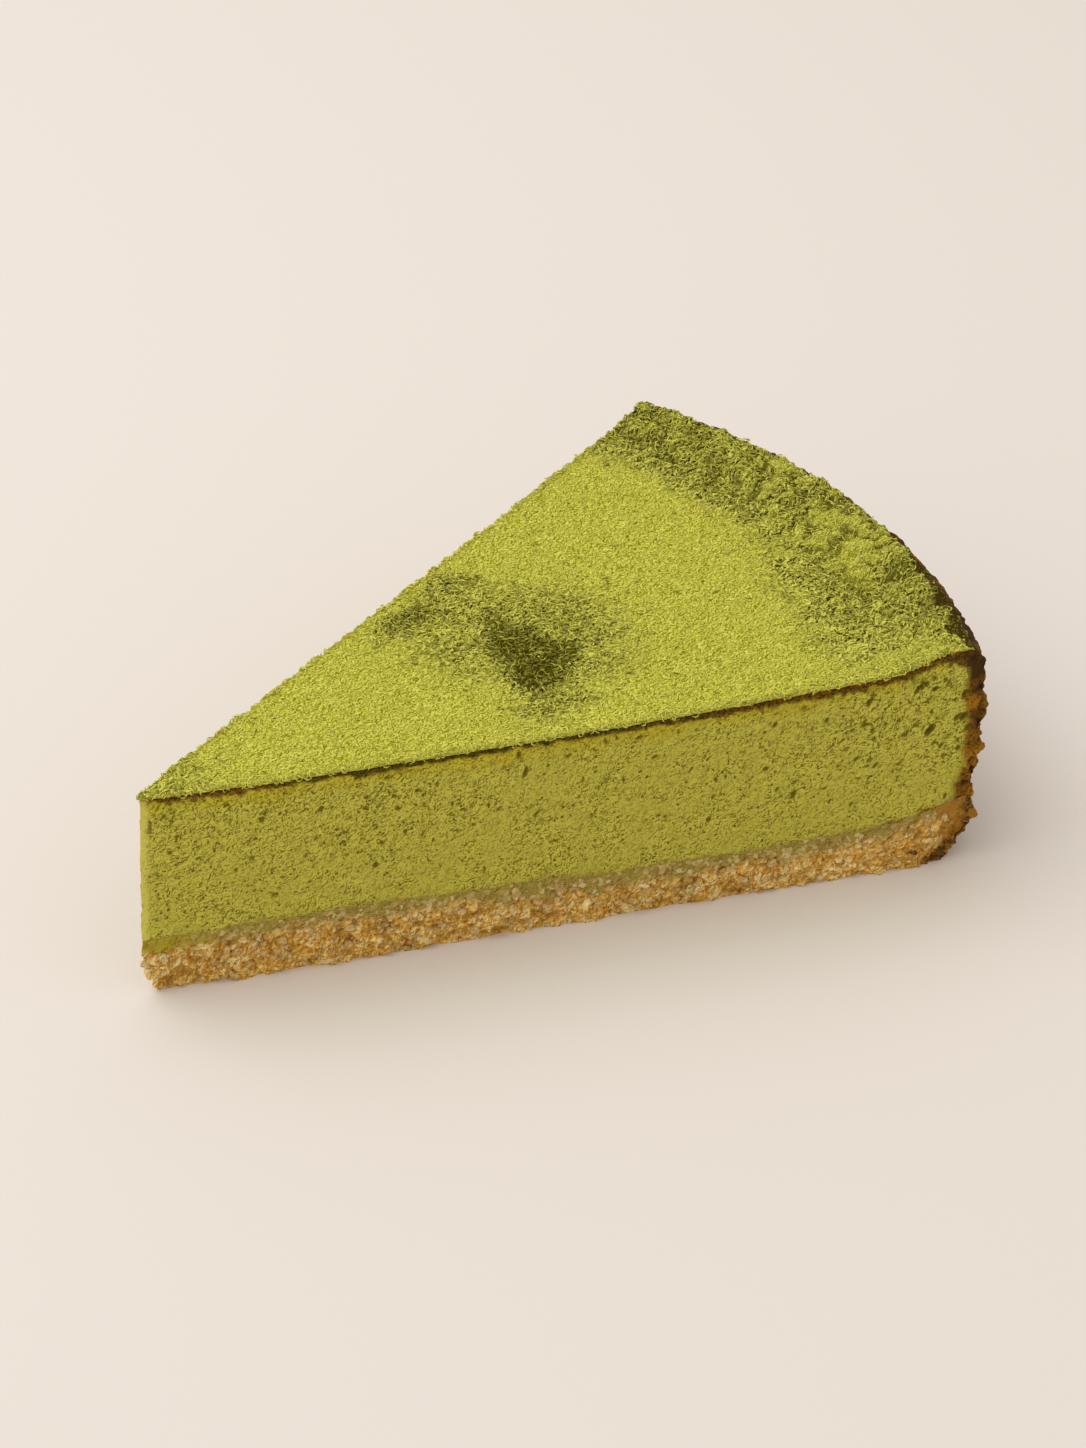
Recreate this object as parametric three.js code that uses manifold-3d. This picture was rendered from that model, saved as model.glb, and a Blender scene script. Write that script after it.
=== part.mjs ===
// A slice of matcha cheesecake, cut from a round cake: a crumb base that turns up at the rim,
// a baked green filling with a craggy outer wall, and a layer of matcha powder on the top.
// Millimetres, +Z up. The slice rests on z = 0 and its tip points towards -X.
import * as THREE from 'three';
import { ImprovedNoise } from 'three/addons/math/ImprovedNoise.js';
import { mergeVertices } from 'three/addons/utils/BufferGeometryUtils.js';
import Module from 'manifold-3d';

const { clamp, degToRad, lerp, seededRandom, smoothstep } = THREE.MathUtils;
const wasm = await Module();
wasm.setup();

// ---- Plan of the slice, seen from above with the tip at x = 0 ----
const HALF_ANGLE = degToRad(19.5); // half of the angle between the two cuts
const ARC_RADIUS = 88.1; // of the rim, which is rounder than a circle about the tip
const ARC_CENTRE = 28.6; // from the tip to the middle of the rim's arc

// ---- Heights ----
const TIP_HEIGHT = 32.2;
const TOP_HEIGHT = 33.1; // of the flat part of the top, just inside the rim
const TOP_SAG = 0.8; // how far the top dips between the tip and the rim
const RIM_RISE_FRONT = 2.5; // of the puffed rim above the flat part of the top
const RIM_RISE_BACK = 1.1;
const RIM_FALL = 0.3; // share of that rise which the rim loses again at its outer edge
const RIM_START = 0.88; // share of the way from the tip to the rim where the rim starts
const RIM_PEAK = 0.965;
const BASE_AT_TIP = 8.6; // thickness of the crumb base
const BASE_THINNEST = 6.9;
const BASE_THINS_FROM = 0.2; // shares of the way to the rim where it starts to thin
const BASE_THIN_AT = 0.8; // and where it is thinnest
const BASE_AT_WALL = 10.8; // where the crumb base turns up along the wall
const BASE_WAVE = 0.45;
const BASE_WAVE_SIZE = 7;
const POWDER_THICKNESS = 0.8;
const POWDER_EDGE_THICKNESS = 0.3; // where the powder thins out at the rim
const POWDER_REACH = 0.985; // the last bit of the rim stays bare
const POWDER_THINS_AT = 0.93; // share of the way to the rim where the powder starts to thin
const SHOULDER_HEIGHT = 33; // where the outer wall turns over into the top

// ---- Outer wall: how far it stands back from the rim's arc, at each height ----
const WALL_SETBACKS = [
  { z: 0, back: 4.8 },
  { z: 1.2, back: 3.2 },
  { z: 3, back: 1.8 },
  { z: 5.4, back: 0.9 },
  { z: 7.6, back: 0.6 },
  { z: 9.3, back: 1.4 }, // groove between the crumb base and the filling
  { z: 11.8, back: 0.8 },
  { z: 16, back: 0.3 },
  { z: 22, back: 0.1 },
  { z: 27, back: 0.7 },
  { z: 31, back: 0.9 },
  { z: SHOULDER_HEIGHT, back: 0.8 },
];
const CRAG_DEPTH = 0.65; // relief of the browned wall
const CRAG_SIZE = 5.2;
const FINE_CRAG_SHARE = 0.7; // depth of the small crags against the large ones
const FINE_CRAG_SIZE = 2.3;
const CRAG_FADE_IN = [0, 2]; // heights over which the crags start above the floor
const CRAG_FADE_OUT = [31, 34]; // and over which they end at the shoulder

// ---- Cuts and tip ----
const CRUMB_RELIEF = 0.5; // roughness of the cut through the crumbs
const CRUMB_RELIEF_SIZE = 2.4;
const KNIFE_RELIEF = 0.12; // waviness of the cut through the filling
const KNIFE_RELIEF_SIZE = 3;
const KNIFE_STREAK = 4; // how much taller than wide those waves are
const RELIEF_CHANGE = [5, 6.4]; // heights over which the one relief gives way to the other
const RELIEF_FADE_IN = 4; // how far from the tip both reach their full depth
const POWDER_OVERHANG = 0.2; // the powder's ragged edge stands out over the cut
const TIP_LEAN = 1.1; // the top of the tip leans back
const TIP_LEAN_START = 6; // from this height up
const TIP_CHIP = 1.6; // crumbs broken off the bottom of the tip
const TIP_CHIP_HEIGHT = 4.5;
const TIP_CHIP_FLAT = 0.5; // full depth of the chip up to this height
const TIP_REACH = 9; // how far from the tip its lean and chip fade out
const OVERHANG_START = 12; // the powder's overhang starts this far from the tip

// ---- Powder relief ----
const RIM_LUMP_HEIGHT = 0.75;
const RIM_LUMP_SIZE = 4.2;
const RIM_LUMP_LOWEST = -0.35; // no hollow of the rim is deeper
const RIM_LUMP_FADE = 0.06; // share of the way to the rim over which the lumps start
const RIM_LUMP_END = 0.96; // share of the way where they start to fade at the edge
const TOP_LUMP_HEIGHT = 0.16;
const TOP_LUMP_SIZE = 3.2;

// ---- Mesh density ----
const EDGE_STEPS = 50; // along each cut, up to the powder's outer edge
const ARC_STEPS = 44;
const BASE_ROWS = 6;
const FILLING_ROWS = 10;
const HIDDEN_RINGS = [
  // rings of the caps between two layers, from the outside in
  { scale: 0.91, every: 2 },
  { scale: 0.78, every: 4 },
  { scale: 0.5, every: 8 },
];
const CAP_CENTRE = 74; // from the tip to the middle of those rings

// ---- Crumbs that stand out of the base ----
const CUT_CRUMB_COUNT = 14; // on each cut
const CUT_CRUMB_RADII = [2, 1.2];
const CUT_CRUMB_ENDS = [4, 9]; // clearance from the tip and from the rim, along the cut
const CUT_CRUMB_CLEARANCE = [0.1, 0.4]; // from the floor and from the top of the base
const CUT_CRUMB_SUNK = 0.62; // share of the radius that the middle lies inside the cut
const WALL_CRUMB_COUNT = 9;
const WALL_CRUMB_RADII = [1.4, 2.2];
const WALL_CRUMB_HEIGHTS = [2.4, 6.6];
const WALL_CRUMB_SPREAD = 0.9; // share of the half angle
const WALL_CRUMB_SUNK = 0.6;
const CRUMB_STRETCH = 1.15;

// ---- Pores of the filling ----
const PORE_COUNT = 26; // on each cut
const PORE_RADII = [0.62, 0.4];
const PORE_ENDS = [4, 4.5]; // clearance from the tip and from the rim, along the cut
const PORE_CLEARANCE = [1.4, 1.1]; // from the base and from the powder
const PORE_OUT = 0.1; // share of the radius that the middle lies outside the cut
const PORE_STRETCH = 1.15;
const PORE_LEAN = 0.75; // below 1, more pores lie towards the rim
const PORE_LIFT = 0.7; // below 1, more pores lie high up
const LARGE_PORES = [
  // s: from the tip along the front cut, z: height, r: radius
  { s: 98.6, z: 30.9, r: 0.95 },
  { s: 104.5, z: 31.2, r: 0.85 },
  { s: 109.8, z: 28.9, r: 0.85 },
  { s: 106.7, z: 27.8, r: 0.75 },
  { s: 89.1, z: 29.4, r: 0.7 },
  { s: 109.3, z: 21.2, r: 0.75 },
  { s: 81.2, z: 21.5, r: 0.6 },
  { s: 49.6, z: 28, r: 0.55 },
  { s: 39.6, z: 22.8, r: 0.6 },
];

// ---- Starts of the random rows ----
const SEEDS = {
  cutCrumb: 100, cutCrumbHeight: 400,
  wallCrumb: 700, wallCrumbRadius: 720, wallCrumbHeight: 740,
  pore: 900, poreHeight: 1300,
};
const LUMP_TURNS = [2.1, 3.7, 1.3]; // radians from one pore or crumb to the next
const NOISE_GAIN = 1.6; // brings the noise up to the full range
const NOISE_SHIFT = [11.3, 7.7, 3.1];
const LAYER_SHIFTS = { // keep the reliefs of different surfaces apart
  fineCrags: 40, powderTop: 50, baseTop: 20, crumbCut: 30, knifeCut: 60,
};

const MATERIALS = {
  crumb_base: new THREE.MeshStandardMaterial({ color: '#a67f3d', roughness: 0.85 }),
  filling: new THREE.MeshStandardMaterial({ color: '#988e33', roughness: 0.5 }),
  matcha_dusting: new THREE.MeshStandardMaterial({ color: '#b6b043', roughness: 0.95 }),
};

// ---- Shape functions ----

const perlin = new ImprovedNoise();

// Smooth lumps of about the given size, between -1 and 1.
function lumps(x, y, z, size) {
  const [dx, dy, dz] = NOISE_SHIFT;
  return clamp(NOISE_GAIN * perlin.noise(x / size + dx, y / size + dy, z / size + dz), -1, 1);
}

// The distance from the tip to the rim's arc in one direction.
function rimDistance(angle) {
  const aside = ARC_CENTRE * Math.sin(angle);
  return ARC_CENTRE * Math.cos(angle) + Math.sqrt(ARC_RADIUS ** 2 - aside ** 2);
}

function wallSetback(z) {
  const above = WALL_SETBACKS.findIndex((step) => step.z >= z);
  if (above === 0) return WALL_SETBACKS[0].back;
  if (above < 0) return WALL_SETBACKS.at(-1).back;
  const [low, high] = [WALL_SETBACKS[above - 1], WALL_SETBACKS[above]];
  return lerp(low.back, high.back, (z - low.z) / (high.z - low.z));
}

function wallDistance(angle, z) {
  const rim = rimDistance(angle);
  const [x, y] = [rim * Math.cos(angle), rim * Math.sin(angle)];
  const coarse = lumps(x, y, z, CRAG_SIZE);
  const fine = lumps(x + LAYER_SHIFTS.fineCrags, y, z, FINE_CRAG_SIZE);
  const fade = smoothstep(z, ...CRAG_FADE_IN) * (1 - smoothstep(z, ...CRAG_FADE_OUT));
  return rim - wallSetback(z) + fade * CRAG_DEPTH * (coarse + FINE_CRAG_SHARE * fine);
}

function turnAt(x, y) {
  return clamp(0.5 + Math.atan2(y, x) / (2 * HALF_ANGLE), 0, 1);
}

// The top of the powder without its lumps. reach is the share of the way to the rim, and
// turn runs from 0 on the front cut to 1 on the back cut.
function topHeight(reach, turn) {
  const flat = clamp(reach / RIM_START, 0, 1);
  const sag = TOP_SAG * Math.sin(Math.PI * flat) * (1 - 0.5 * turn);
  const rise = smoothstep(reach, RIM_START, RIM_PEAK) - RIM_FALL * smoothstep(reach, RIM_PEAK, 1);
  return lerp(TIP_HEIGHT, TOP_HEIGHT, flat) - sag + lerp(RIM_RISE_FRONT, RIM_RISE_BACK, turn) * rise;
}

function fillingTop(reach, x, y) {
  const thinning = smoothstep(reach, POWDER_THINS_AT, POWDER_REACH);
  const thickness = lerp(POWDER_THICKNESS, POWDER_EDGE_THICKNESS, thinning);
  return topHeight(reach, turnAt(x, y)) - thickness;
}

function powderTop(reach, x, y) {
  const rim = smoothstep(reach, RIM_START, RIM_START + RIM_LUMP_FADE);
  const edge = 1 - smoothstep(reach, RIM_LUMP_END, POWDER_REACH);
  const rimLumps = RIM_LUMP_HEIGHT * lumps(x, y, 0, RIM_LUMP_SIZE);
  const topLumps = TOP_LUMP_HEIGHT * lumps(x, y, LAYER_SHIFTS.powderTop, TOP_LUMP_SIZE);
  const relief = lerp(topLumps, Math.max(rimLumps, RIM_LUMP_LOWEST), rim);
  return topHeight(reach, turnAt(x, y)) + edge * relief;
}

// The top of the crumb base, which thins towards the rim and then turns up along the wall.
function baseTop(reach, x, y) {
  const thinning = smoothstep(reach, BASE_THINS_FROM, BASE_THIN_AT);
  const turnUp = Math.max(0, (reach - BASE_THIN_AT) / (1 - BASE_THIN_AT)) ** 2;
  const flat = lerp(BASE_AT_TIP, BASE_THINNEST, thinning);
  const wave = BASE_WAVE * lumps(x, y, LAYER_SHIFTS.baseTop, BASE_WAVE_SIZE);
  return lerp(flat, BASE_AT_WALL, turnUp) + wave * (1 - turnUp);
}

// How far a cut stands out at one place: rough through the crumbs, smooth through the filling.
function cutRelief(s, z, side) {
  const crumbs = CRUMB_RELIEF * lumps(s, side * LAYER_SHIFTS.crumbCut, z, CRUMB_RELIEF_SIZE);
  const drawn = z / KNIFE_STREAK;
  const knife = KNIFE_RELIEF * lumps(s, side * LAYER_SHIFTS.knifeCut, drawn, KNIFE_RELIEF_SIZE);
  return smoothstep(s, 0, RELIEF_FADE_IN) * lerp(crumbs, knife, smoothstep(z, ...RELIEF_CHANGE));
}

// A point on the slice's side. cut is -1 on the front cut, 1 on the back cut, 0 on the wall.
function sidePoint({ reach, angle, cut }, z, overhang = 0) {
  const s = reach * wallDistance(angle, z);
  const out = cut * (cutRelief(s, z, cut) + overhang * smoothstep(s, 0, OVERHANG_START));
  const x = s * Math.cos(angle) - out * Math.sin(angle);
  const y = s * Math.sin(angle) + out * Math.cos(angle);
  const lean = TIP_LEAN * smoothstep(z, TIP_LEAN_START, TIP_HEIGHT);
  const chip = TIP_CHIP * (1 - smoothstep(z, TIP_CHIP_FLAT, TIP_CHIP_HEIGHT));
  const nearTip = Math.exp(-s / TIP_REACH);
  return new THREE.Vector3(x + (lean + chip) * nearTip, y, z);
}

// The places on the way round the slice: tip, front cut, wall, back cut.
function outline(reaches, wallReach) {
  const front = reaches.map((reach) => ({ reach, angle: -HALF_ANGLE, cut: -1 }));
  const back = reaches.map((reach) => ({ reach, angle: HALF_ANGLE, cut: 1 })).reverse();
  const wall = [];
  for (let i = 1; i < ARC_STEPS; i += 1) {
    wall.push({ reach: wallReach, angle: lerp(-HALF_ANGLE, HALF_ANGLE, i / ARC_STEPS), cut: 0 });
  }
  return [{ reach: 0, angle: 0, cut: 0 }, ...front, ...wall, ...back];
}

// ---- Mesh building ----

// Points and triangles of one closed surface.
class Shell {
  points = [];
  triangles = [];

  add(point) {
    this.points.push(point);
    return this.points.length - 1;
  }

  row(points) {
    return points.map((point) => this.add(point));
  }

  // Fills the strip between two open rows. It faces the viewer who sees the first row below,
  // running to the right, and the second row above it, or the other way where turned is true.
  strip(low, high, turned = false) {
    let [i, j] = [0, 0];
    while (i < low.length - 1 || j < high.length - 1) {
      const nextLow = (i + 1) / (low.length - 1);
      const nextHigh = (j + 1) / (high.length - 1);
      const stepsLow = j === high.length - 1 || (i < low.length - 1 && nextLow <= nextHigh);
      const third = stepsLow ? low[i + 1] : high[j + 1];
      this.triangles.push(turned ? [third, low[i], high[j]] : [low[i], third, high[j]]);
      i += stepsLow ? 1 : 0;
      j += stepsLow ? 0 : 1;
    }
  }

  ringStrip(low, high, turned = false) {
    this.strip([...low, low[0]], [...high, high[0]], turned);
  }

  geometry() {
    const geometry = new THREE.BufferGeometry().setFromPoints(this.points);
    geometry.setIndex(this.triangles.flat());
    return geometry;
  }
}

// A band up the slice's side, in equal rows from the ring low to the height that top gives.
function addBand(shell, places, low, bottom, top, rows, overhang = 0) {
  let ring = low;
  for (let k = 1; k <= rows; k += 1) {
    const points = places.map((place) => {
      const z = lerp(bottom(place), top(place), k / rows);
      return sidePoint(place, z, overhang);
    });
    const next = shell.row(points);
    shell.ringStrip(ring, next);
    ring = next;
  }
  return ring;
}

// A cap between two layers: rings that shrink towards the middle, at the height that
// heightAt gives. It faces up, or down for the layer above.
function addHiddenCap(shell, ring, heightAt, facesUp) {
  const place = (x, y) => {
    const reach = Math.hypot(x, y) / rimDistance(Math.atan2(y, x));
    return new THREE.Vector3(x, y, heightAt(reach, x, y));
  };
  let outer = ring;
  for (const { scale, every } of HIDDEN_RINGS) {
    const kept = ring.filter((_, i) => i % every === 0).map((index) => shell.points[index]);
    const points = kept.map((p) => place(lerp(CAP_CENTRE, p.x, scale), p.y * scale));
    const inner = shell.row(points);
    shell.ringStrip(outer, inner, !facesUp);
    outer = inner;
  }
  const middle = shell.add(place(CAP_CENTRE, 0));
  outer.forEach((start, i) => {
    const end = outer[(i + 1) % outer.length];
    shell.triangles.push(facesUp ? [start, end, middle] : [end, start, middle]);
  });
}

function toSolid(geometry) {
  const vertProperties = geometry.getAttribute('position').array;
  const triVerts = new Uint32Array(geometry.getIndex().array);
  return new wasm.Manifold(new wasm.Mesh({ numProp: 3, vertProperties, triVerts }));
}

function toGeometry(solid) {
  const { vertProperties, triVerts } = solid.getMesh();
  const geometry = new THREE.BufferGeometry();
  geometry.setAttribute('position', new THREE.BufferAttribute(vertProperties, 3));
  geometry.setIndex(new THREE.BufferAttribute(triVerts, 1));
  return geometry;
}

// A small flattened ball of twenty faces, for a pore or a crumb, turned by its number.
function lump(centre, radius, stretch, number) {
  const ball = new THREE.IcosahedronGeometry(radius, 0);
  ball.deleteAttribute('normal');
  ball.deleteAttribute('uv');
  const geometry = mergeVertices(ball);
  const turn = new THREE.Euler(...LUMP_TURNS.map((part) => number * part));
  const place = new THREE.Matrix4().makeRotationFromEuler(turn);
  place.premultiply(new THREE.Matrix4().makeScale(stretch, stretch, 1));
  place.setPosition(centre);
  geometry.applyMatrix4(place);
  return toSolid(geometry);
}

// ---- The pieces ----

const EDGE_REACHES = Array.from(
  { length: EDGE_STEPS },
  (_, i) => POWDER_REACH * ((i + 1) / EDGE_STEPS),
);
const sliceOutline = outline([...EDGE_REACHES, 1], 1);
const powderOutline = outline(EDGE_REACHES, POWDER_REACH);

const planOf = ({ reach, angle }) => {
  const s = reach * rimDistance(angle);
  return [s * Math.cos(angle), s * Math.sin(angle)];
};
const baseTopAt = (place) => baseTop(place.reach, ...planOf(place));
const fillingTopAt = (place) => fillingTop(place.reach, ...planOf(place));
const powderTopAt = (place) => powderTop(place.reach, ...planOf(place));
const wallTopAt = (place) => (place.reach === 1 ? SHOULDER_HEIGHT : fillingTopAt(place));

// A point on a cut face, a little inside or outside it.
function onCut(side, s, z, out) {
  const angle = side * HALF_ANGLE;
  const x = s * Math.cos(angle) - side * out * Math.sin(angle);
  const y = s * Math.sin(angle) + side * out * Math.cos(angle);
  return new THREE.Vector3(x, y, z);
}

// A random place along one cut, clear of its two ends, and its share of the way to the rim.
function placeAlongCut(side, [nearTip, nearRim], share) {
  const length = rimDistance(HALF_ANGLE);
  const s = lerp(nearTip, length - nearRim, share);
  return { s, reach: s / length, angle: side * HALF_ANGLE };
}

function makeCutCrumbs() {
  const count = 2 * CUT_CRUMB_COUNT;
  return Array.from({ length: count }, (_, i) => {
    const side = i % 2 === 0 ? -1 : 1;
    const radius = lerp(...CUT_CRUMB_RADII, i / count);
    const place = placeAlongCut(side, CUT_CRUMB_ENDS, seededRandom(SEEDS.cutCrumb + i));
    const low = radius + CUT_CRUMB_CLEARANCE[0];
    const high = baseTopAt(place) - radius - CUT_CRUMB_CLEARANCE[1];
    const z = lerp(low, high, seededRandom(SEEDS.cutCrumbHeight + i) ** 2);
    const centre = onCut(side, place.s, z, -CUT_CRUMB_SUNK * radius);
    return lump(centre, radius, CRUMB_STRETCH, i);
  });
}

function makeWallCrumbs() {
  return Array.from({ length: WALL_CRUMB_COUNT }, (_, i) => {
    const share = (i + seededRandom(SEEDS.wallCrumb + i)) / WALL_CRUMB_COUNT;
    const angle = lerp(-1, 1, share) * WALL_CRUMB_SPREAD * HALF_ANGLE;
    const radius = lerp(...WALL_CRUMB_RADII, seededRandom(SEEDS.wallCrumbRadius + i));
    const z = lerp(...WALL_CRUMB_HEIGHTS, seededRandom(SEEDS.wallCrumbHeight + i));
    const s = wallDistance(angle, z) - WALL_CRUMB_SUNK * radius;
    const centre = new THREE.Vector3(s * Math.cos(angle), s * Math.sin(angle), z);
    return lump(centre, radius, CRUMB_STRETCH, i);
  });
}

function makePores() {
  const pores = LARGE_PORES.map(({ s, z, r }, i) => lump(onCut(-1, s, z, 0), r, PORE_STRETCH, i));
  const count = 2 * PORE_COUNT;
  for (let i = 0; i < count; i += 1) {
    const side = i % 2 === 0 ? -1 : 1;
    const radius = lerp(...PORE_RADII, i / count);
    const place = placeAlongCut(side, PORE_ENDS, seededRandom(SEEDS.pore + i) ** PORE_LEAN);
    const low = baseTopAt(place) + PORE_CLEARANCE[0];
    const high = fillingTopAt(place) - PORE_CLEARANCE[1];
    const z = lerp(low, high, seededRandom(SEEDS.poreHeight + i) ** PORE_LIFT);
    pores.push(lump(onCut(side, place.s, z, PORE_OUT * radius), radius, PORE_STRETCH, i));
  }
  return pores;
}

function makeBase() {
  const shell = new Shell();
  const floor = shell.row(sliceOutline.map((place) => sidePoint(place, 0)));
  addHiddenCap(shell, floor, () => 0, false);
  const top = addBand(shell, sliceOutline, floor, () => 0, baseTopAt, BASE_ROWS);
  addHiddenCap(shell, top, baseTop, true);
  const body = toSolid(shell.geometry());
  const crumbs = [...makeCutCrumbs(), ...makeWallCrumbs()];
  return toGeometry(crumbs.reduce((whole, crumb) => whole.add(crumb), body));
}

function makeFilling() {
  const shell = new Shell();
  const low = shell.row(sliceOutline.map((place) => sidePoint(place, baseTopAt(place))));
  addHiddenCap(shell, low, baseTop, false);
  const top = addBand(shell, sliceOutline, low, baseTopAt, wallTopAt, FILLING_ROWS);
  // The bare shoulder, from the wall's top in to the powder's edge.
  const corner = EDGE_STEPS + 1;
  const wall = top.slice(corner, corner + ARC_STEPS + 1);
  const inner = powderOutline.slice(EDGE_STEPS + 1, EDGE_STEPS + ARC_STEPS);
  const shoulder = shell.row(inner.map((place) => sidePoint(place, fillingTopAt(place))));
  const row = [top[corner - 1], ...shoulder, top[corner + ARC_STEPS + 1]];
  shell.strip(wall, row);
  const ring = [...top.slice(0, corner), ...shoulder, ...top.slice(corner + ARC_STEPS + 1)];
  addHiddenCap(shell, ring, fillingTop, true);
  const body = toSolid(shell.geometry());
  return toGeometry(makePores().reduce((whole, pore) => whole.subtract(pore), body));
}

function makePowder() {
  const shell = new Shell();
  const low = shell.row(powderOutline.map((place) => sidePoint(place, fillingTopAt(place))));
  addHiddenCap(shell, low, fillingTop, false);
  const edge = addBand(shell, powderOutline, low, fillingTopAt, powderTopAt, 1, POWDER_OVERHANG);
  // Rows across the top from the tip outwards, each between the two cuts.
  let inner = [edge[0]];
  for (let j = 1; j <= EDGE_STEPS; j += 1) {
    const outer = j === EDGE_STEPS
      ? edge.slice(EDGE_STEPS, EDGE_STEPS + ARC_STEPS + 1)
      : powderRow(shell, edge, j);
    shell.strip(outer, inner);
    inner = outer;
  }
  return shell.geometry();
}

function powderRow(shell, edge, j) {
  const steps = Math.max(1, Math.round((ARC_STEPS * j) / EDGE_STEPS));
  const row = [edge[j]];
  for (let i = 1; i < steps; i += 1) {
    const place = { reach: EDGE_REACHES[j - 1], angle: lerp(-1, 1, i / steps) * HALF_ANGLE };
    const [x, y] = planOf(place);
    row.push(shell.add(new THREE.Vector3(x, y, powderTop(place.reach, x, y))));
  }
  return [...row, edge.at(-j)];
}

// ---- The slice ----

const slice = new THREE.Group();
const pieces = { crumb_base: makeBase(), filling: makeFilling(), matcha_dusting: makePowder() };
for (const [name, geometry] of Object.entries(pieces)) {
  const mesh = new THREE.Mesh(geometry, MATERIALS[name]);
  mesh.name = name;
  slice.add(mesh);
}
const middle = new THREE.Box3().setFromObject(slice, true).getCenter(new THREE.Vector3());
slice.position.set(-middle.x, -middle.y, 0);
slice.updateMatrixWorld(true);

export default slice;
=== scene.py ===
import functools
import itertools
import math

import bpy
import numpy as np
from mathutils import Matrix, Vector


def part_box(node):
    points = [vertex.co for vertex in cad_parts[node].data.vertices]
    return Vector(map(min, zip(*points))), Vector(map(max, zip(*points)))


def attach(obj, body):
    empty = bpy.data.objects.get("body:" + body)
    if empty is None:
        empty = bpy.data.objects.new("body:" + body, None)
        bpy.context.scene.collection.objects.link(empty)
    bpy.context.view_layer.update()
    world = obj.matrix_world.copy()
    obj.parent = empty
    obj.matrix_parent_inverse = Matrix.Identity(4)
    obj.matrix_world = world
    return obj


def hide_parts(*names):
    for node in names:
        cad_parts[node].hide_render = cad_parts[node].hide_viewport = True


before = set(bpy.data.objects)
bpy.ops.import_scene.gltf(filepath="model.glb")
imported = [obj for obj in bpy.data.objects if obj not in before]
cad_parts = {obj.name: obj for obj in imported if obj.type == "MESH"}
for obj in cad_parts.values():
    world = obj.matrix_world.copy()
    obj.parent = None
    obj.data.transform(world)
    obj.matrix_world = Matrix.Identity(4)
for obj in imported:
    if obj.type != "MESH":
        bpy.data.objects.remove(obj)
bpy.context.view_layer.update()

MM = 0.001  # the script works in millimetres from the slice's tip, and Blender in metres

# ---- The slice, seen from above: its tip is at the start of X, its rim an arc ----
HALF_ANGLE = math.radians(19.5)
ARC_RADIUS = 88.1
ARC_CENTRE = 28.6
CUT_LENGTH = 114.5
WALL_ZONE = 14.0  # no browning from the wall reaches further in than this
TIP = np.array([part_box("crumb_base")[0][0] / MM, 0.0, 0.0])

# ---- Fineness of the meshes ----
FILLING_CELL = 0.27
POWDER_CELL = 0.19
BASE_CELL = 0.19
MERGED = 0.01  # points nearer than this are one point
SMOOTHING_ROUNDS = 2
MOST_TRIANGLES = 196000  # in each piece

# ---- Patches in which a layer's own edge is looked for ----
LEVEL_PATCH = 0.9
WALL_PATCH = 1.2
BASE_PATCH = 2.5  # wider than the crumbs that stand out of the cuts
MOST_PATCHES = 4096  # more than there are across the slice

# ---- Camera, fitted to the corners of the slice ----
CAMERA_FROM_TIP = (-181.5, -359.3, 341.4)
CAMERA_HEADING = math.radians(55.78)  # from +X towards +Y
CAMERA_DOWN = math.radians(36.69)
LENS = 100.0
SENSOR_HEIGHT = 36.0

FLOOR_SIZE = 4.0  # in metres

# ---- Light ----
SKY = 0.74
SKY_TINT = "#fff8ef"
# name, power in watts, tint, size, distance, heading from +X towards +Y, and height angle
LIGHTS = (
    ("window", 2.9, "#f7faff", 700, 780, 134, 64),
)

SEED = 7
LATTICE_SIZE = 64
LATTICE = np.random.default_rng(SEED).random((LATTICE_SIZE,) * 3)
JITTER = np.random.default_rng(SEED + 1).random((LATTICE_SIZE,) * 3 + (3,))


# ---- Random relief ----


def turned(places, seed):
    """The places turned about a slanting axis, so that no two layers of relief line up."""
    a, b = 0.7 + 1.3 * seed, 0.4 + 0.9 * seed
    about_z = np.array([[math.cos(a), -math.sin(a), 0], [math.sin(a), math.cos(a), 0], [0, 0, 1]])
    about_x = np.array([[1, 0, 0], [0, math.cos(b), -math.sin(b)], [0, math.sin(b), math.cos(b)]])
    return places @ about_z @ about_x + 13.7 * seed


def lumps(places, size, seed):
    """Smooth random lumps of about the given size, from -1 to 1."""
    spot = turned(places, seed) / size
    low = np.floor(spot).astype(int)
    share = spot - low
    share = share * share * (3 - 2 * share)
    total = np.zeros(len(places))
    for corner in itertools.product((0, 1), repeat=3):
        weight = np.prod(np.where(corner, share, 1 - share), axis=1)
        index = (low + corner) % LATTICE_SIZE
        total += weight * LATTICE[index[:, 0], index[:, 1], index[:, 2]]
    return 2 * total - 1


def threads(places, size, width, seed):
    """Thin curling ridges, from 0 between them to 1 on them."""
    return np.clip(1 - np.abs(lumps(places, size, seed)) / width, 0, 1)


def crumb_cells(places, size, seed):
    """Crumbs of about the given size: how far inside one each place is, and its tone."""
    spot = turned(places, seed) / size
    home = np.floor(spot).astype(int)
    near = np.full(len(places), np.inf)
    next_near = near.copy()
    tone = np.zeros(len(places))
    for step in itertools.product((-1, 0, 1), repeat=3):
        cell = home + step
        index = tuple((cell % LATTICE_SIZE).T)
        away = np.linalg.norm(cell + JITTER[index] - spot, axis=1)
        closer = away < near
        next_near = np.where(closer, near, np.minimum(next_near, away))
        tone = np.where(closer, LATTICE[index], tone)
        near = np.where(closer, away, near)
    return next_near - near, tone


def ramp(value, low, high):
    """0 up to low and 1 from high on, with a soft step between them."""
    share = np.clip((value - low) / (high - low), 0, 1)
    return share * share * (3 - 2 * share)


def knobs(places, size, seed):
    """Rounded knobs with narrow clefts between them, from about -0.5 to 0.3."""
    return np.sqrt(np.clip(crumb_cells(places, size, seed)[0], 0, 0.6)) - 0.5


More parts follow.
